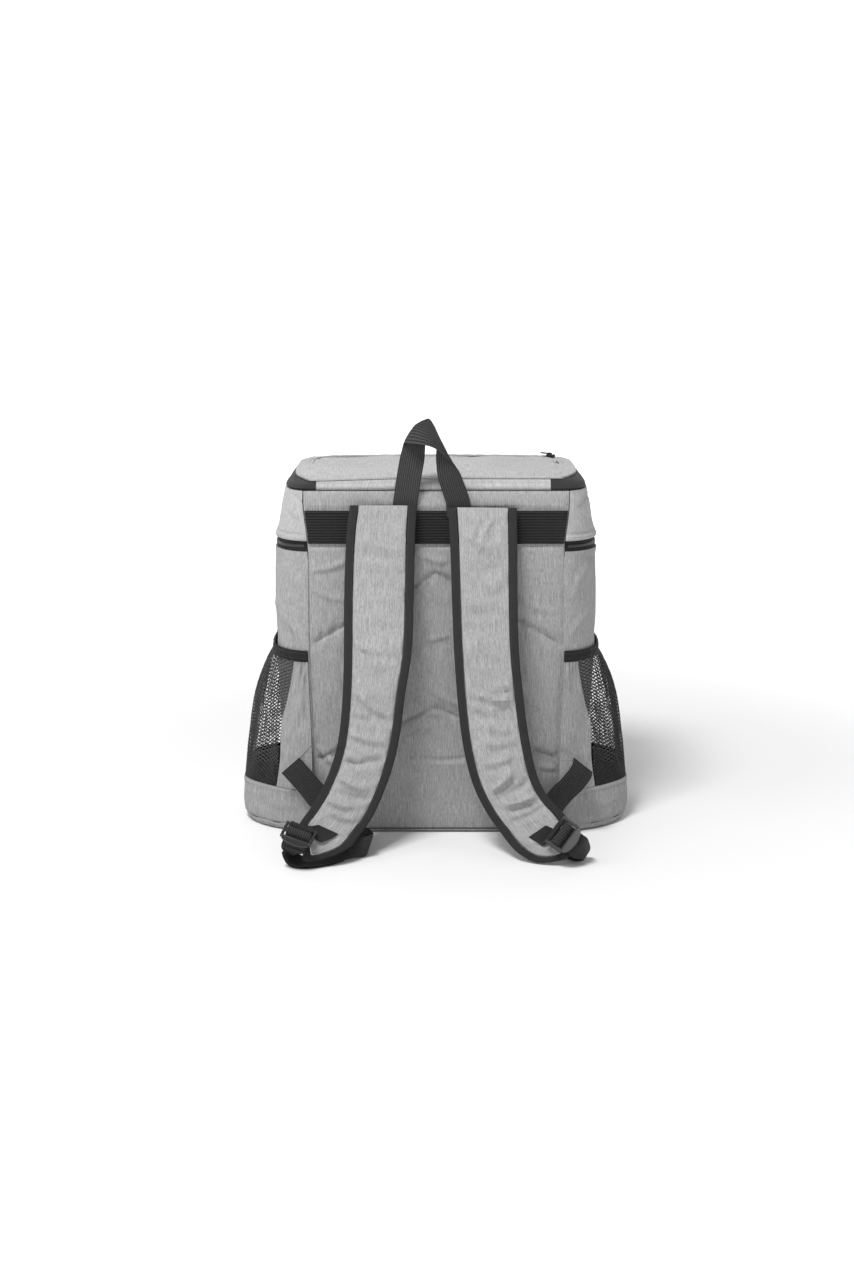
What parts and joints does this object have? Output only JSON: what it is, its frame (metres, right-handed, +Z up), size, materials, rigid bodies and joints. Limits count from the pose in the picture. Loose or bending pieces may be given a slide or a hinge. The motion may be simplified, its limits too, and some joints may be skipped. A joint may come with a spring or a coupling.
{
  "type": "cooler backpack",
  "caption": "Insulated box-shaped backpack with zipped lid, padded shoulder straps, carry handle and net side pockets, standing on its flat base.",
  "frame": {"origin": "centre of the flat base, on the surface the bag stands on", "axes": "+Z up; -Y toward the wearer, the side with the back panel and straps; +X to the right as one looks at the back panel"},
  "size_m": [0.4228, 0.318, 0.4423],
  "materials": {
    "body_mat": "heather woven polyester over foam",
    "back_panel_mat": "heather woven polyester, quilted over foam",
    "yoke_band_mat": "ribbed webbing",
    "upper_section_mat": "heather woven polyester",
    "main_zip_mat": "woven zip tape with nylon coil",
    "main_zip_slider_mat": "black painted zinc",
    "rim_back_mat": "heather woven polyester",
    "rim_trim_mat": "plain black cloth",
    "lid_top_mat": "heather woven polyester",
    "lid_zip_mat": "woven zip tape with nylon coil",
    "lid_zip_slider_mat": "black painted zinc",
    "carry_handle_mat": "ribbed webbing",
    "strap_left_mat": "heather woven polyester over foam",
    "strap_right_mat": "heather woven polyester over foam",
    "binding_left_mat": "folded binding tape",
    "binding_right_mat": "folded binding tape",
    "strap_patch_left_mat": "webbing",
    "strap_patch_right_mat": "webbing",
    "adjuster_left_mat": "ribbed webbing",
    "adjuster_right_mat": "ribbed webbing",
    "buckle_left_mat": "moulded nylon",
    "buckle_right_mat": "moulded nylon",
    "tab_left_mat": "heather woven polyester, doubled",
    "tab_right_mat": "heather woven polyester, doubled",
    "pocket_base_left_mat": "heather woven polyester",
    "pocket_base_right_mat": "heather woven polyester",
    "pocket_net_left_mat": "open knitted net",
    "pocket_net_right_mat": "open knitted net",
    "pocket_gusset_back_left_mat": "heather woven polyester",
    "pocket_gusset_back_right_mat": "heather woven polyester",
    "pocket_gusset_front_left_mat": "heather woven polyester",
    "pocket_gusset_front_right_mat": "heather woven polyester",
    "pocket_elastic_left_mat": "folded elastic binding",
    "pocket_elastic_right_mat": "folded elastic binding"
  },
  "bodies": {
    "root": {"body": "body_mat", "back_panel": "back_panel_mat", "yoke_band": "yoke_band_mat", "upper_section": "upper_section_mat", "main_zip": "main_zip_mat", "main_zip_slider": "main_zip_slider_mat", "rim_back": "rim_back_mat", "rim_trim": "rim_trim_mat", "lid_top": "lid_top_mat", "lid_zip": "lid_zip_mat", "lid_zip_slider": "lid_zip_slider_mat", "carry_handle": "carry_handle_mat", "strap_left": "strap_left_mat", "strap_right": "strap_right_mat", "binding_left": "binding_left_mat", "binding_right": "binding_right_mat", "strap_patch_left": "strap_patch_left_mat", "strap_patch_right": "strap_patch_right_mat", "adjuster_left": "adjuster_left_mat", "adjuster_right": "adjuster_right_mat", "buckle_left": "buckle_left_mat", "buckle_right": "buckle_right_mat", "tab_left": "tab_left_mat", "tab_right": "tab_right_mat", "pocket_base_left": "pocket_base_left_mat", "pocket_base_right": "pocket_base_right_mat", "pocket_net_left": "pocket_net_left_mat", "pocket_net_right": "pocket_net_right_mat", "pocket_gusset_back_left": "pocket_gusset_back_left_mat", "pocket_gusset_back_right": "pocket_gusset_back_right_mat", "pocket_gusset_front_left": "pocket_gusset_front_left_mat", "pocket_gusset_front_right": "pocket_gusset_front_right_mat", "pocket_elastic_left": "pocket_elastic_left_mat", "pocket_elastic_right": "pocket_elastic_right_mat"}
  },
  "joints": []
}
